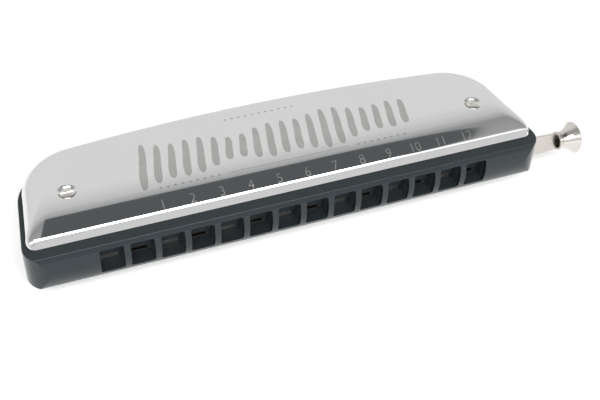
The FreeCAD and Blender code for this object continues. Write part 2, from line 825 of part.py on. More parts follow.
def make_reeds(level, sign, kind):
    """Lay a row of reeds on a plate: blow reeds on its inner face, draw reeds outside."""
    outer = kind == "draw"
    face = plate_face(sign, outer)
    upward = outer == (sign > 0)
    foot = layer_foot(face, cell("reed_thickness"), upward)
    start = "Sheet.reed_front + Sheet.reed_tip_gap" if kind == "blow" else "Sheet.reed_front"
    stem = level.capitalize() + kind.capitalize()
    reeds = []
    for index in HOLES:
        name = "%sReed%d" % (stem, index + 1)
        middle = reed_middle(index, kind)
        tongue = new_box(
            name + "Tongue",
            (cell("reed_width"), "%s - Sheet.reed_tip_gap" % reed_length(index),
             cell("reed_thickness")),
            ("%s - Sheet.reed_width / 2" % middle, start, foot),
        )
        across, back = rivet_place(index, kind)
        pad = new_box(
            name + "Pad",
            (cell("reed_pad_width"), cell("reed_pad_length"), cell("reed_thickness")),
            ("%s - Sheet.reed_pad_width / 2" % middle,
             "%s - Sheet.reed_pad_length / 2" % back, foot),
        )
        hole = new_cylinder(
            name + "Hole", "Sheet.rivet_radius + Sheet.rivet_clearance",
            "3 * Sheet.reed_thickness", (across, back, "%s - Sheet.reed_thickness" % foot),
        )
        reeds.append(drill(name, join(name + "Blank", [tongue, pad]), hole))
    group(stem + "Reeds", reeds, "%s_%s_reeds" % (level, kind))


def make_rivets(level, sign, kind):
    """Make the rivets that hold a row of reeds, with a head on each side."""
    outer = kind == "draw"
    stack = "Sheet.plate_thickness + Sheet.reed_thickness"
    low = "(Sheet.plate_seat + Sheet.plate_thickness / 2) * %d - Sheet.plate_thickness / 2" % sign
    if outer != (sign > 0):
        low = "%s - Sheet.reed_thickness" % low
    stem = level.capitalize() + kind.capitalize()
    rivets = []
    for index in HOLES:
        name = "%sRivet%d" % (stem, index + 1)
        across, back = rivet_place(index, kind)
        shank = new_cylinder(name + "Shank", cell("rivet_radius"), stack, (across, back, low))
        foot = new_cylinder(
            name + "Foot", cell("rivet_head"), cell("rivet_head_height"),
            (across, back, "%s - Sheet.rivet_head_height" % low),
        )
        head = new_cylinder(
            name + "Head", cell("rivet_head"), cell("rivet_head_height"),
            (across, back, "%s + %s" % (low, stack)),
        )
        rivets.append(join(name, [foot, shank, head]))
    group(stem + "Rivets", rivets, "%s_%s_rivets" % (level, kind))


def make_valves(level, sign, kind):
    """Lay a film valve over each reed slot, on the face away from its reed."""
    outer = kind == "blow"
    face = plate_face(sign, outer)
    upward = outer == (sign > 0)
    foot = layer_foot(face, cell("valve_thickness"), upward)
    stem = level.capitalize() + kind.capitalize()
    valves = []
    for index in range(int(get("valved_holes"))):
        length = "%s + Sheet.valve_margin" % reed_length(index)
        start = "Sheet.reed_front"
        if kind == "blow":
            start = "Sheet.reed_front - Sheet.valve_margin"
        valves.append(new_box(
            "%sValve%d" % (stem, index + 1),
            (cell("valve_width"), length, cell("valve_thickness")),
            ("%s - Sheet.valve_width / 2" % reed_middle(index, kind), start, foot),
        ))
    group(stem + "Valves", valves, "%s_%s_valves" % (level, kind))


def make_plate_screws(level, sign):
    """Make the small screws that hold a reed plate to the comb."""
    face = "Sheet.plate_seat + Sheet.plate_thickness"
    tip = cell("plate_screw_tip")
    head_height = cell("plate_screw_head_height")
    length = "%s - %s" % (face, tip)
    screws = []
    for number, (across, back) in enumerate(plate_screw_places(), start=1):
        name = "%sPlateScrew%d" % (level.capitalize(), number)
        low = tip if sign > 0 else "-(%s)" % face
        head_low = face if sign > 0 else "-(%s) - %s" % (face, head_height)
        shank = new_cylinder(
            name + "Shank", "Sheet.plate_screw_hole - Sheet.rivet_clearance", length,
            (across, back, low),
        )
        head = new_cylinder(
            name + "Head", cell("plate_screw_head"), head_height, (across, back, head_low)
        )
        screws.append(join(name, [shank, head]))
    group(level.capitalize() + "PlateScrews", screws, level + "_reed_plate_screws")


# ---------------------------------------------------------------- covers

def bead_height(tilt):
    """Return the height at which the front bead is tilted by an angle from level."""
    start = math.radians(90 - get("flange_lean"))
    rise = math.cos(math.radians(tilt)) - math.cos(start)
    return get("flange_top") + get("bead_radius") * rise


def front_inset(height):
    """Return how far the pressed front stands back from its foot, at a height.

    A leaning flange turns over a round bead into a slope that flattens out towards the top.
    """
    lean = math.radians(get("flange_lean"))
    flange_top = get("flange_top")
    foot = get("comb_height") / 2
    if height <= flange_top:
        return (height - foot) * math.tan(lean)
    inset = (flange_top - foot) * math.tan(lean)
    radius = get("bead_radius")
    crest = bead_height(get("bead_end"))
    if height < crest:
        tilt = math.acos(math.sin(lean) + (height - flange_top) / radius)
        return inset + radius * (math.cos(lean) - math.sin(tilt))
    end = math.radians(get("bead_end"))
    inset += radius * (math.cos(lean) - math.sin(end))
    climb = get("half_thickness") - crest
    power = math.tan(end) * get("slope_length") / climb
    rise = min((height - crest) / climb, 1.0)
    return inset + get("slope_length") * (1 - (1 - rise) ** (1 / power))


def round_inset(height, start, radius, rise):
    """Return the inset of a rounded wall that starts to turn inwards at a height."""
    climb = min(max(height - start, 0.0) / rise, 1.0)
    return radius * (1 - math.sqrt(1 - climb ** 2))


def cover_level(height, shift):
    """Return the cover's outline at a height, moved inwards by a wall's thickness."""
    foot = get("comb_height") / 2
    top = get("half_thickness")
    surface = max(height + shift, foot)
    front = get("cover_front") + front_inset(surface) + shift
    side = round_inset(surface, foot, get("side_round"), top - foot) + shift
    rear = round_inset(surface, get("rear_lip"), get("rear_round"), top - get("rear_lip")) + shift
    taper = math.cos(math.radians(get("plan_taper")))
    return Part.Wire([curve.toShape() for curve in plan_outline(
        front, get("cover_half_length") - side / taper, get("cover_rear") - rear,
        get("cover_front_corner") - shift, get("plan_rear_corner") - rear, height,
    )])


BEAD_TILTS = (56, 47, 38)
SLOPE_STEPS = (0.15, 0.3, 0.45, 0.6, 0.75, 0.88, 0.95, 0.985)


def cover_heights(lowest, shift):
    """Return the heights of the outlines, closer together where the wall turns."""
    top = get("half_thickness") - shift
    heights = [lowest, get("flange_top") - shift]
    crest = bead_height(get("bead_end")) - shift
    heights += [bead_height(tilt) - shift for tilt in BEAD_TILTS] + [crest]
    heights += [crest + (top - crest) * part for part in SLOPE_STEPS]
    return heights + [top]


def dimple_solid(low_radius, high_radius, low, high, sign):
    """Return a cone frustum at the cover screw's place on one side."""
    place = Vector(sign * get("screw_side"), get("screw_back"), low)
    return Part.makeCone(low_radius, high_radius, high - low, place)


def cover_shape(hole_radius):
    """Return the upper cover: a pressed shell with two dimples and a rear sound opening."""
    wall = get("cover_sheet")
    spare = get("cut_spare")
    foot = get("comb_height") / 2
    top = get("half_thickness")
    outer = Part.makeLoft([cover_level(z, 0) for z in cover_heights(foot, 0)], True, True)
    inner = Part.makeLoft(
        [cover_level(z, wall) for z in cover_heights(foot - spare, wall)], True, True
    )
    gap = get("sound_gap_half_width")
    depth = get("sound_gap_depth")
    opening = Part.makeBox(
        2 * gap, 2 * depth, get("rear_lip") - foot + spare,
        Vector(-gap, get("cover_rear") - depth, foot - spare),
    )
    shell = outer.cut(inner).cut(opening)

    floor = get("screw_seat")
    small = get("dimple_floor")
    large = get("dimple_mouth")
    flare = (large - small) / (top - floor) * spare
    for sign in (-1, 1):
        cup = dimple_solid(small + wall, large + wall, floor - wall, top, sign)
        hollow = dimple_solid(small, large + flare, floor, top + spare, sign)
        place = Vector(sign * get("screw_side"), get("screw_back"), floor - wall - spare)
        bore = Part.makeCylinder(hole_radius, wall + 2 * spare, place)
        shell = shell.fuse(cup).cut(hollow).cut(bore)
    return shell.removeSplitter().Solids[0]


def make_cover(level, sign):
    """Make the upper cover, or the lower one as its mirror image with holes for the nuts."""
    hole = get("screw_radius") if sign > 0 else get("nut_barrel")
    shape = cover_shape(hole + get("fastener_clearance"))
    if sign < 0:
        shape = shape.mirror(Vector(0, 0, 0), Vector(0, 0, 1))
    cover = doc.addObject("Part::Feature", level.capitalize() + "Cover")
    cover.Shape = shape
    keep(cover, level + "_cover")


def make_cover_screw(side, sign):
    """Turn a slotted cover screw."""
    name = side.capitalize() + "CoverScrew"
    body = new_body(name)
    profile = new_sketch(body, name + "Profile", "XZ_Plane")
    seat = get("screw_seat")
    head = get("screw_head")
    top = seat + get("screw_head_height")
    shank = get("screw_radius")
    tip = get("screw_tip")
    crown = get("screw_crown")
    point = get("screw_point")
    profile.addGeometry([
        Part.LineSegment(Vector(0, tip, 0), Vector(shank - point, tip, 0)),
        Part.LineSegment(Vector(shank - point, tip, 0), Vector(shank, tip + point, 0)),
        Part.LineSegment(Vector(shank, tip + point, 0), Vector(shank, seat, 0)),
        Part.LineSegment(Vector(shank, seat, 0), Vector(head, seat, 0)),
        Part.LineSegment(Vector(head, seat, 0), Vector(head, top - 2 * crown, 0)),
        Part.Arc(Vector(head, top - 2 * crown, 0), Vector(head / 2, top - crown / 2, 0),
                 Vector(0, top, 0)),
        Part.LineSegment(Vector(0, top, 0), Vector(0, tip, 0)),
    ], False)
    turned = body.newObject("PartDesign::Revolution", name + "Turned")
    turned.Profile = profile
    turned.ReferenceAxis = (profile, ["V_Axis"])
    turned.Angle = 360.0
    doc.recompute()
    slot = new_sketch(body, name + "Slot", "XY_Plane",
                      "Sheet.screw_seat + Sheet.screw_head_height - Sheet.screw_slot_depth")
    rectangle(slot, "-2 * Sheet.screw_head", "-Sheet.screw_slot / 2",
              "2 * Sheet.screw_head", "Sheet.screw_slot / 2")
    cut(body, slot, name + "SlotPocket", cell("screw_head_height"), reverse=True)
    place_fastener(body, sign)
    keep(body, side + "_cover_screw")


def make_cover_nut(side, sign):
    """Turn a slotted sleeve nut that reaches up into the comb."""
    name = side.capitalize() + "CoverNut"
    body = new_body(name)
    profile = new_sketch(body, name + "Profile", "XZ_Plane")
    seat = -get("screw_seat")
    head = get("nut_head")
    low = seat - get("screw_head_height")
    bore = get("screw_radius") + get("thread_clearance")
    barrel = get("nut_barrel")
    tip = get("nut_tip")
    profile.addGeometry([
        Part.LineSegment(Vector(bore, low, 0), Vector(head, low, 0)),
        Part.LineSegment(Vector(head, low, 0), Vector(head, seat, 0)),
        Part.LineSegment(Vector(head, seat, 0), Vector(barrel, seat, 0)),
        Part.LineSegment(Vector(barrel, seat, 0), Vector(barrel, tip, 0)),
        Part.LineSegment(Vector(barrel, tip, 0), Vector(bore, tip, 0)),
        Part.LineSegment(Vector(bore, tip, 0), Vector(bore, low, 0)),
    ], False)
    turned = body.newObject("PartDesign::Revolution", name + "Turned")
    turned.Profile = profile
    turned.ReferenceAxis = (profile, ["V_Axis"])
    turned.Angle = 360.0
    doc.recompute()
    slot = new_sketch(body, name + "Slot", "XY_Plane",
                      "-Sheet.screw_seat - Sheet.screw_head_height + Sheet.screw_slot_depth")
    rectangle(slot, "-2 * Sheet.screw_head", "-Sheet.screw_slot / 2",
              "2 * Sheet.screw_head", "Sheet.screw_slot / 2")
    cut(body, slot, name + "SlotPocket", cell("screw_head_height"))
    place_fastener(body, sign)
    keep(body, side + "_cover_nut")


def place_fastener(body, sign):
    """Put a fastener at its cover screw place."""
    body.setExpression("Placement.Base.x", "%d * Sheet.screw_side" % sign)
    body.setExpression("Placement.Base.y", cell("screw_back"))


# ---------------------------------------------------------------- assembly

make_comb()
make_slide()
make_slide_button()
make_slide_spring()
make_slide_stop_pin()
for level_name, level_sign in LEVELS.items():
    make_reed_plate(level_name, level_sign)
    for reed_kind in ("blow", "draw"):
        make_reeds(level_name, level_sign, reed_kind)
        make_rivets(level_name, level_sign, reed_kind)
        make_valves(level_name, level_sign, reed_kind)
    make_plate_screws(level_name, level_sign)
make_cover("top", 1)
make_cover("bottom", -1)
for side_name, side_sign in (("left", -1), ("right", 1)):
    make_cover_screw(side_name, side_sign)
    make_cover_nut(side_name, side_sign)
doc.recompute()

for item in doc.Objects:
    if "Invalid" in item.State or "Error" in item.State:
        raise RuntimeError("%s failed: %s" % (item.Label, item.State))
for item in subparts:
    if item.Shape.isNull() or not item.Shape.isValid():
        raise RuntimeError("%s has no valid shape" % item.Label)

os.makedirs("parts", exist_ok=True)
for item in subparts:
    item.Shape.exportStep(os.path.join("parts", item.Label + ".step"))
    box = item.Shape.BoundBox
    print("%-26s solids %3d  volume %9.1f  x %.2f..%.2f  y %.2f..%.2f  z %.2f..%.2f" % (
        item.Label, len(item.Shape.Solids), item.Shape.Volume, box.XMin, box.XMax,
        box.YMin, box.YMax, box.ZMin, box.ZMax,
    ))
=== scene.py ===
"""Chromatic harmonica: finished surfaces, materials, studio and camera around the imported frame.

Metres, in the row frame: +X runs along the mouth holes towards the slide button, -Y faces the
player and +Z is up. The bottom cover rests on Z = 0.
"""

import bmesh
import bpy
import json
import math
from mathutils import Matrix, Vector, noise


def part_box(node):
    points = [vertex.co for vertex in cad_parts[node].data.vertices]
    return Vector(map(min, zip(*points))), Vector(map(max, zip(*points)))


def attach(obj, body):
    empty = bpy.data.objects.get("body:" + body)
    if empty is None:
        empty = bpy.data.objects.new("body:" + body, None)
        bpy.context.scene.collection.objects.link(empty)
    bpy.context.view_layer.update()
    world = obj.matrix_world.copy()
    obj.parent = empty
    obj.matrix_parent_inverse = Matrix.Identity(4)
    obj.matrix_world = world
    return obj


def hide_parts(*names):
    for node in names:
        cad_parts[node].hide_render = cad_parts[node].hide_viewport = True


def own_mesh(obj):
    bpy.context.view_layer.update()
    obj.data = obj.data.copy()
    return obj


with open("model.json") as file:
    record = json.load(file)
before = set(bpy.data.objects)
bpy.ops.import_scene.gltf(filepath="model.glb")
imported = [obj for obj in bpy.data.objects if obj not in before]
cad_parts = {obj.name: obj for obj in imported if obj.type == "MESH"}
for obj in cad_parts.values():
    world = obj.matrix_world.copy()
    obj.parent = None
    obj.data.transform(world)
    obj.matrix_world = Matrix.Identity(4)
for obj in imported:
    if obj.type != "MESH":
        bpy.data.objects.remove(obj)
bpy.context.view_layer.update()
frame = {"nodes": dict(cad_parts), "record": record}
NODES = frame["nodes"]

MM = 0.001
TURN = 2 * math.pi

# ---------------------------------------------------------------- places read from the frame
BODY = "instrument"
COVER_LOW, COVER_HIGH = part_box("top_cover")
BOTTOM_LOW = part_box("bottom_cover")[0]
MIDDLE = (BOTTOM_LOW.z + COVER_HIGH.z) / 2
SCREW_PLACES = {}
for side in ("left", "right"):
    low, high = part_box(side + "_cover_screw")
    SCREW_PLACES[side] = (low + high) / 2

# ---------------------------------------------------------------- sizes of the pressed covers
SKIN = 0.02 * MM                          # the visible cover stays this far inside the solid one
HALF = COVER_HIGH.z - MIDDLE - SKIN       # height of the flat top above the middle plane
FOOT = COVER_LOW.z - MIDDLE               # height of the cover's foot above the middle plane
FRONT = COVER_LOW.y + SKIN
REAR = COVER_HIGH.y - SKIN
TAPER = math.radians(6.9)
REAR_ARC = 569 * MM
REAR_CORNER = 16 * MM
FRONT_CORNER = 3 * MM
SHEET = 0.8 * MM
FLANGE_TOP = 8.1 * MM
FLANGE_TILT = math.radians(65)            # the flange leans back from upright
BEAD = 2.3 * MM
BEAD_END = math.radians(30)
SLOPE_LENGTH = 17 * MM
SIDE_ROUND = 7.5 * MM
LIP = 9.4 * MM
REAR_ROUND = 5.5 * MM
SOUND_GAP = 60 * MM
DIMPLE_FLOOR = 11.45 * MM
DIMPLE_SMALL = 2.25 * MM
DIMPLE_LARGE = 3.0 * MM
DIMPLE_BLEND = 0.22 * MM
DIMPLE_MARGIN = 1.2 * MM                  # the mesh is refined this far around a dimple
HOLE_PITCH = 9.2 * MM
HOLE_COUNT = 14

# worked out from the sizes above
CORNER_GAIN = FRONT_CORNER * ((1 + math.sin(TAPER)) / math.cos(TAPER) - 1)
HALF_LENGTH = COVER_HIGH.x - SKIN + CORNER_GAIN
SIDE_REACH = HALF_LENGTH * math.cos(TAPER) + FRONT * math.sin(TAPER)
FLANGE_INSET = (FLANGE_TOP - FOOT) / math.tan(FLANGE_TILT)
CREST = FLANGE_TOP + BEAD * (math.cos(BEAD_END) - math.cos(FLANGE_TILT))
CREST_INSET = FLANGE_INSET + BEAD * (math.sin(FLANGE_TILT) - math.sin(BEAD_END))
SLOPE_POWER = math.tan(BEAD_END) * SLOPE_LENGTH / (HALF - CREST)


# ---------------------------------------------------------------- small mesh helpers

def new_piece(name, mesh, body=BODY):
    """Link a mesh as a piece of the object that rides on a body."""
    piece = bpy.data.objects.new(name, mesh)
    bpy.context.scene.collection.objects.link(piece)
    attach(piece, body)
    return piece


def smooth(mesh):
    """Shade every face of a mesh smoothly."""
    mesh.polygons.foreach_set("use_smooth", [True] * len(mesh.polygons))
    mesh.update()


def mix(low, high, part):
    """Return the value that lies part of the way from low to high."""
    return low + (high - low) * part


def soft_min(first, second, radius):
    """Return the lesser of two heights, rounded where they meet."""
    near = max(radius - abs(first - second), 0.0) / radius
    return min(first, second) - near * near * radius / 4


# ---------------------------------------------------------------- shape of the pressed covers

def front_inset(height):
    """Return how far the pressed front stands back from its foot, at a height."""
    if height <= FLANGE_TOP:
        return (height - FOOT) / math.tan(FLANGE_TILT)
    if height < CREST:
        tilt = math.acos(math.cos(FLANGE_TILT) + (height - FLANGE_TOP) / BEAD)
        return FLANGE_INSET + BEAD * (math.sin(FLANGE_TILT) - math.sin(tilt))
    rise = min((height - CREST) / (HALF - CREST), 1.0)
    return CREST_INSET + SLOPE_LENGTH * (1 - (1 - rise) ** (1 / SLOPE_POWER))


def round_inset(height, start, radius, rise):
    """Return the inset of a rounded wall that starts to turn inwards at a height."""
    climb = min(max(height - start, 0.0) / rise, 1.0)
    return radius * (1 - math.sqrt(1 - climb ** 2))


def cover_height(y):
    """Return the height of the top cover's skin above the middle plane, up to its rear lip."""
    along = min(max((y - FRONT - CREST_INSET) / SLOPE_LENGTH, 0.0), 1.0)
    return CREST + (HALF - CREST) * (1 - (1 - along) ** SLOPE_POWER)


def arc_points(centre, radius, first, last, steps):
    """Return points along an arc, without its last point."""
    turns = [mix(first, last, step / steps) for step in range(steps)]
    return [centre + Vector((math.cos(turn), math.sin(turn))) * radius for turn in turns]


def line_points(first, last, steps):
    """Return points along a line, without its last point."""
    return [first.lerp(last, step / steps) for step in range(steps)]


# steps around the outline
STRAIGHT_STEPS = 170
CORNER_STEPS = 14
SIDE_STEPS = 44
REAR_CORNER_STEPS = 26

# steps up the cover's side
FLANGE_STEPS = 8
BEAD_STEPS = 14
SLOPE_STEPS = 44


def half_outline(height):
    """Return the right half of a cover's plan outline: its side chain and its rear arc's end."""
    front = FRONT + front_inset(height)
    side = round_inset(height, FOOT, SIDE_ROUND, HALF - FOOT)
    turned_in = round_inset(height, LIP, REAR_ROUND, HALF - LIP)
    radius = REAR_CORNER - turned_in
    normal = Vector((math.cos(TAPER), math.sin(TAPER)))
    along = Vector((-math.sin(TAPER), math.cos(TAPER)))
    nose_y = front + FRONT_CORNER
    nose = Vector(((SIDE_REACH - side - FRONT_CORNER - nose_y * normal.y) / normal.x, nose_y))
    rear_centre = Vector((0, REAR - turned_in - REAR_ARC))
    foot = normal * (SIDE_REACH - side - radius) - rear_centre
    gap = REAR_ARC - radius
    run = math.sqrt(foot.dot(along) ** 2 - foot.dot(foot) + gap ** 2) - foot.dot(along)
    corner = normal * (SIDE_REACH - side - radius) + along * run
    outward = (corner - rear_centre).normalized()
    last = math.atan2(outward.y, outward.x)
    chain = arc_points(nose, FRONT_CORNER, -math.pi / 2, TAPER, CORNER_STEPS)
    chain += line_points(nose + normal * FRONT_CORNER, corner + normal * radius, SIDE_STEPS)
    chain += arc_points(corner, radius, TAPER, last, REAR_CORNER_STEPS)
    chain.append(corner + outward * radius)
    return chain, rear_centre


def rear_arc(last, rear_centre):
    """Return the points of the rear arc from right to left, without its ends."""
    points = []
    for step in range(1, STRAIGHT_STEPS):
        x = mix(last.x, -last.x, step / STRAIGHT_STEPS)
        points.append(Vector((x, rear_centre.y + math.sqrt(REAR_ARC ** 2 - x ** 2))))
    return points


def outline(height):
    """Return a cover's closed plan outline, counter-clockwise from the front line's left end."""
    chain, rear_centre = half_outline(height)
    left = [Vector((-point.x, point.y)) for point in chain]
    front = line_points(left[0], chain[0], STRAIGHT_STEPS)
    return front + chain + rear_arc(chain[-1], rear_centre) + left[:0:-1]


def ring_heights():
    """Return the heights of the cover's rings, from its foot to its flat top."""
    flange = [mix(FOOT, FLANGE_TOP, step / FLANGE_STEPS) for step in range(FLANGE_STEPS)]
    tilts = [mix(FLANGE_TILT, BEAD_END, step / BEAD_STEPS) for step in range(BEAD_STEPS)]
    bead = [FLANGE_TOP + BEAD * (math.cos(tilt) - math.cos(FLANGE_TILT)) for tilt in tilts]
    climbs = [1 - (1 - step / SLOPE_STEPS) ** SLOPE_POWER for step in range(SLOPE_STEPS)]
    slope = [mix(CREST, HALF, climb) for climb in climbs]
    return sorted(flange + bead + slope + [LIP]) + [HALF]


def dimple_height(base, distance):
    """Return the skin's height near a cover screw, where the sheet is dished for its head."""
    depth = HALF - DIMPLE_FLOOR
    wall = DIMPLE_FLOOR + depth * (distance - DIMPLE_SMALL) / (DIMPLE_LARGE - DIMPLE_SMALL)
    pressed = -soft_min(-wall, -DIMPLE_FLOOR, DIMPLE_BLEND)
    return soft_min(base, pressed, DIMPLE_BLEND)


def press_dimples(shell):
    """Refine the flat top near the cover screws, in two passes, and dish it."""
    outer = DIMPLE_LARGE + DIMPLE_MARGIN
    for place in SCREW_PLACES.values():
        centre = place.xy

        def near(vertex, reach):
            return (vertex.co.xy - centre).length < reach and vertex.co.z > DIMPLE_FLOOR

        for reach in (outer, outer - DIMPLE_MARGIN / 3):
            edges = [edge for edge in shell.edges if all(near(v, reach) for v in edge.verts)]
            bmesh.ops.subdivide_edges(shell, edges=edges, cuts=1, use_grid_fill=True)
        for vertex in shell.verts:
            if near(vertex, outer):
                distance = (vertex.co.xy - centre).length
                vertex.co.z = dimple_height(vertex.co.z, distance)


def make_cover(name, node, sign):
    """Make a pressed cover's smooth skin, give it the sheet's thickness and replace its node."""
    shell = bmesh.new()
    rings = []
    for height in ring_heights():
        rings.append([shell.verts.new((p.x, p.y, height)) for p in outline(height)])
    count = len(rings[0])
    for lower, upper in zip(rings, rings[1:]):
        for step in range(count):
            after = (step + 1) % count
            corners = (lower[step], lower[after], upper[after], upper[step])
            middle = sum((v.co for v in corners), Vector()) / len(corners)
            in_gap = middle.y > REAR_CORNER and abs(middle.x) < SOUND_GAP and middle.z < LIP
            if not in_gap:
                shell.faces.new(corners)
    fill_top(shell, rings[-1])
    press_dimples(shell)
    loose = [vertex for vertex in shell.verts if not vertex.link_faces]
    bmesh.ops.delete(shell, geom=loose, context="VERTS")
    bmesh.ops.recalc_face_normals(shell, faces=shell.faces)
    for vertex in shell.verts:
        vertex.co.z = MIDDLE + sign * vertex.co.z
    if sign < 0:
        bmesh.ops.reverse_faces(shell, faces=shell.faces)
    mesh = bpy.data.meshes.new(name)
    shell.to_mesh(mesh)
    shell.free()
    smooth(mesh)
    piece = new_piece(name, mesh)
    thickness = piece.modifiers.new("sheet", "SOLIDIFY")
    thickness.thickness = SHEET
    thickness.offset = -1
    thickness.use_even_offset = False
    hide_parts(node)
    return piece


def fill_top(shell, ring):
    """Fill the flat top with rows of quads between the outline's two side chains."""
    chain = CORNER_STEPS + SIDE_STEPS + REAR_CORNER_STEPS
    front = ring[:STRAIGHT_STEPS + 1]
    right = ring[STRAIGHT_STEPS:STRAIGHT_STEPS + chain + 1]
    rear = ring[STRAIGHT_STEPS + chain:2 * STRAIGHT_STEPS + chain + 1][::-1]
    left = [ring[0]] + ring[:STRAIGHT_STEPS + chain + STRAIGHT_STEPS - 1:-1]
    rows = [front]
    for start, end in zip(left[1:chain], right[1:chain]):
        places = line_points(start.co, end.co, STRAIGHT_STEPS)[1:]
        rows.append([start] + [shell.verts.new(place) for place in places] + [end])
    rows.append(rear)
    for near, far in zip(rows, rows[1:]):
        for part in range(STRAIGHT_STEPS):
            shell.faces.new((near[part], near[part + 1], far[part + 1], far[part]))


# ---------------------------------------------------------------- materials

class Shader:
    """A node material that is put together one node at a time."""

    def __init__(self, name):
        self.material = bpy.data.materials.new(name)
        self.material.use_nodes = True
        self.tree = self.material.node_tree
        self.surface = self.tree.nodes["Principled BSDF"]
        coordinates = self.add("ShaderNodeTexCoord")
        self.place = coordinates.outputs["Object"]
        self.facing = coordinates.outputs["Normal"]

    def add(self, kind, **settings):
        """Add a node and set its plain properties."""
        node = self.tree.nodes.new(kind)
        for key, value in settings.items():
            setattr(node, key, value)
        return node

    def link(self, source, target):
        """Join an output to an input."""
        self.tree.links.new(source, target)

    def set(self, socket, value):
        """Set a constant on one of the surface shader's own sockets."""
        self.surface.inputs[socket].default_value = value

    def noise(self, scale, stretch=(1, 1, 1), detail=3.0, roughness=0.5):
        """Return the value of a noise texture, in cells per millimetre along each axis."""
        mapping = self.add("ShaderNodeMapping")
        mapping.inputs["Scale"].default_value = [scale * part / MM for part in stretch]
        self.link(self.place, mapping.inputs["Vector"])
        texture = self.add("ShaderNodeTexNoise")
        texture.inputs["Scale"].default_value = 1.0
        texture.inputs["Detail"].default_value = detail
        texture.inputs["Roughness"].default_value = roughness
        self.link(mapping.outputs["Vector"], texture.inputs["Vector"])
        return texture.outputs["Fac"]

    def spread(self, value, low, high, start=0.3, end=0.7):
        """Return a value mapped from start..end to low..high."""
        node = self.add("ShaderNodeMapRange")
        node.inputs["From Min"].default_value = start
        node.inputs["From Max"].default_value = end
        node.inputs["To Min"].default_value = low
        node.inputs["To Max"].default_value = high
        self.link(value, node.inputs["Value"])
        return node.outputs["Result"]

    def spread_between(self, value, low, high):
        """Return a value mapped from 0..1 to the range between two other values."""
        node = self.add("ShaderNodeMapRange")
        self.link(low, node.inputs["To Min"])
        self.link(high, node.inputs["To Max"])
        self.link(value, node.inputs["Value"])
        return node.outputs["Result"]

    def maths(self, operation, first, second=None):
        """Return the result of a sum on one or two values."""
        node = self.add("ShaderNodeMath", operation=operation)
        self.link(first, node.inputs[0])
        if second is not None:
            self.link(second, node.inputs[1])
        return node.outputs["Value"]

    def axes(self, vector):
        """Return a vector's parts by axis."""
        node = self.add("ShaderNodeSeparateXYZ")
        self.link(vector, node.inputs["Vector"])
        return node.outputs

    def blend(self, value, first, second):
        """Return a colour between two colours."""
        node = self.add("ShaderNodeMix", data_type="RGBA")
        node.inputs["A"].default_value = (*first, 1.0)
        node.inputs["B"].default_value = (*second, 1.0)
        self.link(value, node.inputs["Factor"])
        return node.outputs["Result"]

    def colour(self, value, first, second):
        """Vary the base colour between two colours."""
        self.link(self.blend(value, first, second), self.surface.inputs["Base Color"])

    def rough(self, value, low, high):
        """Vary the roughness."""
        self.link(self.spread(value, low, high), self.surface.inputs["Roughness"])

    def bump(self, *layers):
        """Add bumps, each given as a value and a depth in millimetres."""
        normal = None
        for value, depth in layers:
            node = self.add("ShaderNodeBump")
            node.inputs["Distance"].default_value = depth * MM
            self.link(value, node.inputs["Height"])
            if normal is not None:
                self.link(normal, node.inputs["Normal"])
            normal = node.outputs["Normal"]
        self.link(normal, self.surface.inputs["Normal"])


def chrome_plate():
    """Polished chrome plate over pressed sheet: faint waviness, polishing lines and smudges."""
    shader = Shader("chrome_plate")
    shader.set("Metallic", 1.0)
    smudge = shader.noise(0.07, detail=5.0)
    polish = shader.noise(1.6, stretch=(0.03, 1, 1), detail=4.0)
    wave = shader.noise(0.05, detail=1.0)
    shader.colour(smudge, (0.62, 0.625, 0.63), (0.66, 0.66, 0.655))
    shader.rough(smudge, 0.05, 0.09)
    shader.bump((wave, 0.02), (polish, 0.0004))
    return shader.material


def etched_chrome():
    """Matte grey etching in the chrome, with the fine grain of the etch."""
    shader = Shader("etched_chrome")
    shader.set("Metallic", 1.0)
    grain = shader.noise(5.0, detail=3.0)
    patch = shader.noise(0.35, detail=3.0)
    shader.colour(patch, (0.38, 0.375, 0.36), (0.47, 0.465, 0.45))
    shader.rough(grain, 0.30, 0.42)
    shader.bump((grain, 0.01))
    return shader.material


# where the comb's upright walls change between matt and satin: along Y at the mouth face, which is
# satin in front of the first place, and along X at both ends, which are satin beyond the second
MOUTH_FACE = (-21.6 * MM, -21.2 * MM)
COMB_ENDS = (70 * MM, 72 * MM)


def comb_plastic():
    """Moulded black plastic: a satin mouth face and ends, and matt everywhere else."""
    shader = Shader("comb_plastic")
    shader.set("IOR", 1.5)
    shader.set("Specular Tint", (0.84, 0.95, 1.0, 1.0))
    grain = shader.noise(3.2, detail=2.0)
    flow = shader.noise(0.06, stretch=(0.5, 1, 1), detail=4.0)
    shader.colour(flow, (0.007, 0.0095, 0.011), (0.009, 0.012, 0.014))
    shader.bump((flow, 0.01), (grain, 0.002))

    place = shader.axes(shader.place)
    facing = shader.axes(shader.facing)
    upright = shader.spread(shader.maths("ABSOLUTE", facing["Z"]), 1, 0, 0.6, 0.8)
    ahead = shader.spread(place["Y"], 1, 0, *MOUTH_FACE)
    outside = shader.spread(shader.maths("ABSOLUTE", place["X"]), 0, 1, *COMB_ENDS)
    polish = shader.maths("MULTIPLY", upright, shader.maths("MAXIMUM", ahead, outside))
    satin = shader.spread(flow, 0.17, 0.25)
    matt = shader.spread(flow, 0.62, 0.72)
    shader.link(shader.spread_between(polish, matt, satin), shader.surface.inputs["Roughness"])
    return shader.material


def drawn_metal(name, dark, light, roughness, stretch, tarnish=0.12):
    """Metal with fine lines along its drawing or milling direction and patches of tarnish."""
    shader = Shader(name)
    shader.set("Metallic", 1.0)
    lines = shader.noise(4.0, stretch=stretch, detail=4.0)
    patch = shader.noise(tarnish, detail=5.0, roughness=0.6)
    shader.colour(patch, dark, light)
    shader.rough(lines, roughness * 0.75, roughness * 1.3)
    shader.bump((lines, 0.004))
    return shader.material


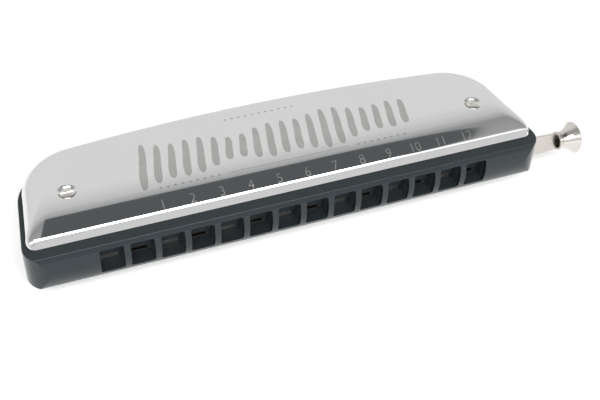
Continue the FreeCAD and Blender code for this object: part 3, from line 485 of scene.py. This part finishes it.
def valve_film():
    """Frosted plastic film, a little yellow, with soft creases."""
    shader = Shader("valve_film")
    shader.set("IOR", 1.46)
    shader.set("Transmission Weight", 0.25)
    crease = shader.noise(0.25, stretch=(1, 0.3, 1), detail=4.0)
    grain = shader.noise(3.0)
    shader.colour(crease, (0.62, 0.60, 0.50), (0.74, 0.72, 0.63))
    shader.rough(grain, 0.35, 0.5)
    shader.bump((crease, 0.05), (grain, 0.005))
    return shader.material


# darkest and lightest colour, roughness, how the lines are stretched, and the patches' scale
DRAWN_METALS = {
    "slide_nickel": ((0.50, 0.47, 0.44), (0.58, 0.55, 0.51), 0.28, (0.04, 1, 1)),
    "button_nickel": ((0.58, 0.56, 0.53), (0.66, 0.64, 0.61), 0.14, (1, 0.1, 0.1)),
    "screw_nickel": ((0.56, 0.54, 0.50), (0.66, 0.64, 0.60), 0.16, (1, 1, 0.2)),
    "plate_screw_steel": ((0.42, 0.41, 0.40), (0.52, 0.51, 0.50), 0.3, (1, 1, 0.2)),
    "spring_steel": ((0.40, 0.39, 0.38), (0.50, 0.49, 0.48), 0.25, (0.2, 1, 1)),
    "plate_brass": ((0.60, 0.42, 0.17), (0.74, 0.55, 0.26), 0.3, (0.05, 1, 1), 0.05),
    "reed_bronze": ((0.66, 0.47, 0.22), (0.78, 0.60, 0.32), 0.24, (1, 0.05, 1)),
    "rivet_brass": ((0.58, 0.42, 0.20), (0.70, 0.53, 0.28), 0.3, (1, 1, 0.2)),
}

MATERIALS = {"cover_chrome": chrome_plate(), "comb_plastic": comb_plastic()}
for slot, look in DRAWN_METALS.items():
    MATERIALS[slot] = drawn_metal(slot, *look)
MATERIALS["valve_film"] = valve_film()
ETCHED = etched_chrome()


def dress(piece, material):
    """Give a piece one material in every slot."""
    piece.data.materials.clear()
    piece.data.materials.append(material)


for subpart in frame["record"]["subparts"]:
    dress(NODES[subpart["node"]], MATERIALS[subpart["material_slot"]])


# ---------------------------------------------------------------- covers

for node, sign in (("top_cover", 1), ("bottom_cover", -1)):
    dress(make_cover(node + "_skin", node, sign), MATERIALS["cover_chrome"])


# ---------------------------------------------------------------- return spring

SPRING_TURNS = 9.5
SPRING_WIRE = 0.2 * MM                    # radius of the wire
SPRING_STEPS = 48                         # rings in one turn
WIRE_SIDES = 12


def make_spring():
    """Wind the slide's round-wire return spring at its length in the frame; the coil is fixed and
    does not shorten as the slide is pushed in.
    """
    low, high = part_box("slide_spring")
    middle = (low + high) / 2
    radius = (high.z - low.z) / 2 - SPRING_WIRE
    start = low.x + SPRING_WIRE
    length = high.x - low.x - 2 * SPRING_WIRE
    steps = int(SPRING_TURNS * SPRING_STEPS)
    coil = bmesh.new()
    last = None
    for step in range(steps + 1):
        turn = TURN * step / SPRING_STEPS
        outward = Vector((0, math.cos(turn), math.sin(turn)))
        centre = Vector((start + length * step / steps, middle.y, middle.z)) + outward * radius
        ring = []
        for side in range(WIRE_SIDES):
            around = TURN * side / WIRE_SIDES
            offset = outward * math.cos(around) + Vector((1, 0, 0)) * math.sin(around)
            ring.append(coil.verts.new(centre + offset * SPRING_WIRE))
        if last:
            for side in range(WIRE_SIDES):
                after = (side + 1) % WIRE_SIDES
                coil.faces.new((last[side], last[after], ring[after], ring[side]))
        else:
            coil.faces.new(ring[::-1])
        last = ring
    coil.faces.new(last)
    bmesh.ops.recalc_face_normals(coil, faces=coil.faces)
    mesh = bpy.data.meshes.new("slide_spring_coil")
    coil.to_mesh(mesh)
    coil.free()
    smooth(mesh)
    piece = new_piece("slide_spring_coil", mesh)
    dress(piece, MATERIALS["spring_steel"])
    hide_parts("slide_spring")
    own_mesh(piece)


make_spring()


# ---------------------------------------------------------------- etched marks on the top cover

ETCH_LIFT = 0.008 * MM
ETCH_STEP = 0.35 * MM


def lay_on_cover(shape):
    """Cut a flat shape finely along Y and lay it on the top cover's skin."""
    rows = sorted(vertex.co.y for vertex in shape.verts)
    line = rows[0] + ETCH_STEP
    while line < rows[-1]:
        everything = shape.verts[:] + shape.edges[:] + shape.faces[:]
        bmesh.ops.bisect_plane(shape, geom=everything, plane_co=(0, line, 0), plane_no=(0, 1, 0))
        line += ETCH_STEP
    for vertex in shape.verts:
        vertex.co.z = MIDDLE + cover_height(vertex.co.y) + ETCH_LIFT


def etch(name, shape):
    """Turn a flat shape into a thin etched mark on the top cover."""
    lay_on_cover(shape)
    bmesh.ops.recalc_face_normals(shape, faces=shape.faces)
    for face in shape.faces:
        if face.normal.z < 0:
            face.normal_flip()
    mesh = bpy.data.meshes.new(name)
    shape.to_mesh(mesh)
    shape.free()
    smooth(mesh)
    piece = new_piece(name, mesh)
    dress(piece, ETCHED)


NUMERAL_HEIGHT = 3.1 * MM
NUMERAL_SCALE = 1.35                      # font size over the height of a digit
NUMERAL_THINNING = -0.02 * MM
NUMERAL_FOOT = FRONT + CREST_INSET - 0.1 * MM
NUMERAL_SHIFT = -0.5 * MM
FIRST_NUMBERED_HOLE = 2


def etch_numerals():
    """Etch the playing numbers 1 to 12 along the front slope, over the third hole and on."""
    shape = bmesh.new()
    for index in range(HOLE_COUNT - FIRST_NUMBERED_HOLE):
        text = bpy.data.curves.new("numeral", "FONT")
        text.body = str(index + 1)
        text.size = NUMERAL_HEIGHT * NUMERAL_SCALE
        text.offset = NUMERAL_THINNING
        text.align_x = "CENTER"
        holder = bpy.data.objects.new("numeral", text)
        bpy.context.scene.collection.objects.link(holder)
        bpy.context.view_layer.update()
        flat = bpy.data.meshes.new_from_object(holder)
        x = (index + FIRST_NUMBERED_HOLE - (HOLE_COUNT - 1) / 2) * HOLE_PITCH + NUMERAL_SHIFT
        flat.transform(Matrix.Translation((x, NUMERAL_FOOT, 0)))
        shape.from_mesh(flat)
        bpy.data.objects.remove(holder)
    etch("etched_numerals", shape)


STROKES = 20
STROKE_PITCH = 4.6 * MM
STROKE_MIDDLE = 1.2 * MM
STROKE_REACH = 11 * MM                    # half the height of a stroke at full swell
STROKE_WIDTH = 2.7 * MM
STROKE_LEAN = 0.16
STROKE_CURL = 0.3 * MM
STROKE_RAGGED = 0.12 * MM
STROKE_TIP = 0.01 * MM                    # half the width left at a stroke's ends
STROKE_NARROWING = 0.72                   # width at the far end over width at the near end
STROKE_STEPS = 28
ROW_FADE = 0.85                           # height of the last stroke over the first, swell aside


def brush_stroke(shape, centre, half_height, width):
    """Add one upright brush stroke with tapered, slightly ragged ends."""
    last = None
    for step in range(STROKE_STEPS + 1):
        along = mix(-1, 1, step / STROKE_STEPS)
        ragged = STROKE_RAGGED * noise.noise(Vector((centre.x / MM, along * 9, 0)))
        half_width = width / 2 * (1 - abs(along) ** 5) ** 0.5
        half_width *= mix(1, STROKE_NARROWING, (along + 1) / 2)
        y = centre.y + along * half_height
        x = centre.x + along * half_height * STROKE_LEAN + STROKE_CURL * math.sin(along * 2.5)
        left = shape.verts.new((x - half_width - STROKE_TIP + ragged, y, 0))
        right = shape.verts.new((x + half_width + STROKE_TIP + ragged / 2, y, 0))
        if last:
            shape.faces.new((last[0], last[1], right, left))
        last = (left, right)


def etch_ornament():
    """Etch a plain row of brush strokes that swells and fades along the flat top."""
    shape = bmesh.new()
    for index in range(STROKES):
        part = index / (STROKES - 1)
        x = (index - (STROKES - 1) / 2) * STROKE_PITCH
        swell = 0.75 + 0.15 * math.cos(part * TURN * 1.5) + 0.10 * math.cos(part * TURN * 4 + 1)
        half_height = STROKE_REACH * swell * mix(1.0, ROW_FADE, part)
        brush_stroke(shape, Vector((x, STROKE_MIDDLE)), half_height, STROKE_WIDTH)
    etch("etched_ornament", shape)


RULE_WIDTH = 0.16 * MM
RULE_MARGIN = 1.5 * MM                    # gap between a rule's end and its first lozenge
LOZENGE_PITCH = 2.3 * MM
LOZENGE_HALF_WIDTH = 0.55 * MM
LOZENGE_HALF_HEIGHT = LOZENGE_HALF_WIDTH * 0.8

# place along Y, first and last lozenge along X, and half the length of the rule between them
MARK_ROWS = (
    (-9.4 * MM, -41 * MM, 41 * MM, 20 * MM),
    (15 * MM, -13 * MM, 10 * MM, 0.0),
)


def etch_rules():
    """Etch a thin rule and lozenges in front of the ornament, and lozenges behind it."""
    shape = bmesh.new()

    def add(corners):
        shape.faces.new([shape.verts.new((across, along, 0)) for across, along in corners])

    for y, first, last, rule in MARK_ROWS:
        if rule:
            add(((-rule, y), (rule, y), (rule, y + RULE_WIDTH), (-rule, y + RULE_WIDTH)))
        x = first
        while x <= last:
            if abs(x) > rule + RULE_MARGIN or not rule:
                wide, high = LOZENGE_HALF_WIDTH, LOZENGE_HALF_HEIGHT
                add(((x - wide, y), (x, y - high), (x + wide, y), (x, y + high)))
            x += LOZENGE_PITCH
    etch("etched_rules", shape)


etch_numerals()
etch_ornament()
etch_rules()


# ---------------------------------------------------------------- studio

def glow(name, colour, strength):
    """Return an even light-giving material for a studio card."""
    material = bpy.data.materials.new(name)
    material.use_nodes = True
    tree = material.node_tree
    tree.nodes.clear()
    emission = tree.nodes.new("ShaderNodeEmission")
    emission.inputs["Color"].default_value = (*colour, 1.0)
    emission.inputs["Strength"].default_value = strength
    output = tree.nodes.new("ShaderNodeOutputMaterial")
    tree.links.new(emission.outputs["Emission"], output.inputs["Surface"])
    return material


FLOOR_REACH = 1.6
FLOOR_DROP = 0.02 * MM                    # keeps the floor clear of the bottom cover's flat


def floor():
    """Lay a plain pale floor."""
    mesh = bpy.data.meshes.new("floor")
    reach = FLOOR_REACH
    corners = [(-reach, -reach, 0), (reach, -reach, 0), (reach, reach, 0), (-reach, reach, 0)]
    mesh.from_pydata(corners, [], [(0, 1, 2, 3)])
    piece = bpy.data.objects.new("floor", mesh)
    bpy.context.scene.collection.objects.link(piece)
    piece.location.z = -FLOOR_DROP
    material = bpy.data.materials.new("floor_paper")
    material.use_nodes = True
    surface = material.node_tree.nodes["Principled BSDF"]
    surface.inputs["Base Color"].default_value = (0.86, 0.86, 0.855, 1.0)
    surface.inputs["Roughness"].default_value = 0.9
    surface.inputs["Specular IOR Level"].default_value = 0.1
    dress(piece, material)


def flag(name, corners, colour, strength):
    """Hang a card that only reflections see."""
    mesh = bpy.data.meshes.new(name)
    mesh.from_pydata(corners, [], [tuple(range(len(corners)))])
    piece = bpy.data.objects.new(name, mesh)
    bpy.context.scene.collection.objects.link(piece)
    dress(piece, glow(name, colour, strength))
    piece.visible_camera = False
    piece.visible_diffuse = False
    piece.visible_shadow = False
    piece.visible_transmission = False


CARD_HEIGHT = 1.0
CARD_LEFT, CARD_RIGHT = -0.05, 0.56
CARD_NEAR, CARD_FAR = -0.66, 0.27
CARD_CORNER = 0.20
CARD_STEPS = 10


def rounded_card():
    """Return the corners of the overhead flag, whose far right corner is well rounded."""
    centre = Vector((CARD_RIGHT - CARD_CORNER, CARD_FAR - CARD_CORNER))
    corner = arc_points(centre, CARD_CORNER, 0, math.pi / 2, CARD_STEPS)
    corner.append(centre + Vector((0, CARD_CORNER)))
    edge = [(CARD_LEFT, CARD_NEAR), (CARD_RIGHT, CARD_NEAR), *corner, (CARD_LEFT, CARD_FAR)]
    return [(x, y, CARD_HEIGHT) for x, y in edge]


# brightness of the surroundings by pitch, in degrees from the rear horizon over to the front one
SKY = (
    (0, 0.95), (28, 1.0), (43, 1.0), (49, 0.92), (60, 0.80), (68, 0.62), (76, 0.42),
    (98, 0.5), (122, 0.6), (134, 1.7), (150, 1.7), (161, 0.70), (169, 0.92), (180, 0.92),
)
HALF_TURN = 180


def studio_world():
    """Light the set with soft surroundings, dim overhead and brightest above the front."""
    world = bpy.data.worlds.new("studio")
    bpy.context.scene.world = world
    world.use_nodes = True
    tree = world.node_tree
    tree.nodes.clear()
    place = tree.nodes.new("ShaderNodeTexCoord")
    split = tree.nodes.new("ShaderNodeSeparateXYZ")
    tree.links.new(place.outputs["Generated"], split.inputs["Vector"])
    pitch = tree.nodes.new("ShaderNodeMath")
    pitch.operation = "ARCTAN2"
    tree.links.new(split.outputs["Z"], pitch.inputs[0])
    tree.links.new(split.outputs["Y"], pitch.inputs[1])
    part = tree.nodes.new("ShaderNodeMapRange")
    part.inputs["From Min"].default_value = 0.0
    part.inputs["From Max"].default_value = math.pi
    tree.links.new(pitch.outputs["Value"], part.inputs["Value"])
    ramp = tree.nodes.new("ShaderNodeValToRGB")
    bands = ramp.color_ramp
    bands.interpolation = "EASE"
    while len(bands.elements) < len(SKY):
        bands.elements.new(0.5)
    for element, (degrees, level) in zip(bands.elements, SKY):
        element.position = degrees / HALF_TURN
        element.color = (level, level, level, 1.0)
    tree.links.new(part.outputs["Result"], ramp.inputs["Fac"])
    studio = tree.nodes.new("ShaderNodeBackground")
    studio.inputs["Strength"].default_value = 1.0
    tree.links.new(ramp.outputs["Color"], studio.inputs["Color"])
    paper = tree.nodes.new("ShaderNodeBackground")
    paper.inputs["Color"].default_value = (0.95, 0.95, 0.945, 1.0)
    ray = tree.nodes.new("ShaderNodeLightPath")
    choice = tree.nodes.new("ShaderNodeMixShader")
    output = tree.nodes.new("ShaderNodeOutputWorld")
    tree.links.new(ray.outputs["Is Camera Ray"], choice.inputs["Fac"])
    tree.links.new(studio.outputs["Background"], choice.inputs[1])
    tree.links.new(paper.outputs["Background"], choice.inputs[2])
    tree.links.new(choice.outputs["Shader"], output.inputs["Surface"])


def area_light(name, place, target, width, height, power):
    """Add a soft box that faces a target."""
    light = bpy.data.lights.new(name, "AREA")
    light.shape = "RECTANGLE"
    light.size = width
    light.size_y = height
    light.energy = power
    lamp = bpy.data.objects.new(name, light)
    bpy.context.scene.collection.objects.link(lamp)
    lamp.location = place
    aim = Vector(target) - Vector(place)
    lamp.rotation_euler = aim.to_track_quat("-Z", "Y").to_euler()
    lamp.visible_camera = False


floor()
flag("overhead_flag", rounded_card(), (0.93, 1.0, 1.05), 0.14)
studio_world()
area_light("front_softbox", (-0.2, -0.9, 0.95), target=(0, 0, 0), width=1.6, height=0.7, power=22)


# ---------------------------------------------------------------- camera

VIEW_TURN = math.radians(22.72)
VIEW_DROP = math.radians(42.30)
VIEW_ROLL = math.radians(2.48)
VIEW_PLACE = Vector((-92.3, -239.9, 232.8)) * MM
LENS = 62.77


def set_camera():
    """Stand the camera at the reference view, above the player's left hand."""
    camera = bpy.data.cameras.new("camera")
    camera.lens = LENS
    camera.clip_start = 0.01
    holder = bpy.data.objects.new("camera", camera)
    bpy.context.scene.collection.objects.link(holder)
    ahead = Vector((
        math.sin(VIEW_TURN) * math.cos(VIEW_DROP),
        math.cos(VIEW_TURN) * math.cos(VIEW_DROP),
        -math.sin(VIEW_DROP),
    ))
    level = Vector((math.cos(VIEW_TURN), -math.sin(VIEW_TURN), 0))
    upright = level.cross(ahead)
    right = level * math.cos(VIEW_ROLL) + upright * math.sin(VIEW_ROLL)
    up = upright * math.cos(VIEW_ROLL) - level * math.sin(VIEW_ROLL)
    turn = Matrix((right, up, -ahead)).transposed().to_4x4()
    holder.matrix_world = Matrix.Translation(VIEW_PLACE) @ turn
    bpy.context.scene.camera = holder
    bpy.context.scene.view_settings.view_transform = "Standard"


set_camera()
